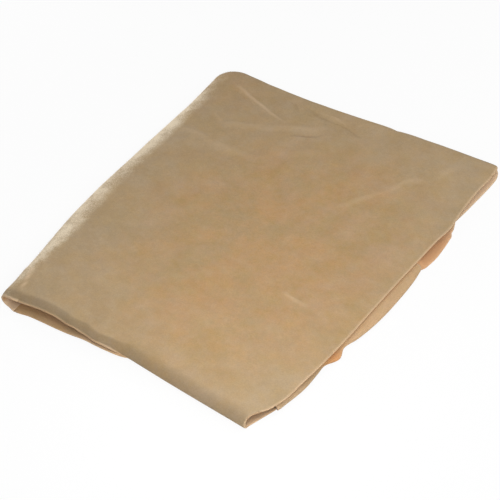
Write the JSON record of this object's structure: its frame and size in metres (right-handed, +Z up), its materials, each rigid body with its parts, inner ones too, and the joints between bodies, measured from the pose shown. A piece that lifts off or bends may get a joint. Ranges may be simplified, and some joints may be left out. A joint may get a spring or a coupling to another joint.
{
  "type": "folded chamois leather",
  "caption": "Soft tan chamois leather folded into a flat package, with rolled edges, an open raw lip at the front left and loose layers along the right side. Its folds open out flat.",
  "frame": {"origin": "on the table, under the middle of the folded package", "axes": "+Z up, +Y along the long side from the open front edge to the back fold, +X from the left fold to the loose right edge"},
  "size_m": [0.2174, 0.2862, 0.012],
  "materials": {
    "sueded_face": "oil-tanned chamois, matt nap, pale tan",
    "inner_layers": "oil-tanned chamois, matt nap, warmer tan"
  },
  "bodies": {
    "under_layer": {"under_panel": "inner_layers", "left_fold": "sueded_face", "right_fold": "inner_layers"},
    "top_layer": {"top_panel": "sueded_face", "back_fold": "sueded_face", "front_fold": "sueded_face"},
    "bottom_layer": {"bottom_panel": "inner_layers"},
    "back_turn": {"back_flap": "inner_layers"},
    "front_turn": {"front_flap": "inner_layers"}
  },
  "joints": [
    {"name": "left_fold_opens", "type": "hinge", "parent": "under_layer", "child": "top_layer", "pos_m": [-0.10354, -0.00262, 0.006], "axis": [0.0499, -0.9988, 0], "range_deg": [0, 178], "deforming": ["left_fold"]},
    {"name": "right_fold_opens", "type": "hinge", "parent": "under_layer", "child": "bottom_layer", "pos_m": [0.10414, -0.0432, 0.004], "axis": [-0.0607, -0.9982, 0], "range_deg": [0, 178], "deforming": ["right_fold"]},
    {"name": "back_flap_opens", "type": "hinge", "parent": "top_layer", "child": "back_turn", "pos_m": [0.00307, 0.14108, 0.006], "axis": [0.9992, 0.0402, 0], "range_deg": [0, 178], "deforming": ["back_fold"]},
    {"name": "front_flap_opens", "type": "hinge", "parent": "top_layer", "child": "front_turn", "pos_m": [0.04371, -0.13947, 0.0045], "axis": [-0.9937, 0.1123, 0], "range_deg": [0, 178], "deforming": ["front_fold"]}
  ]
}
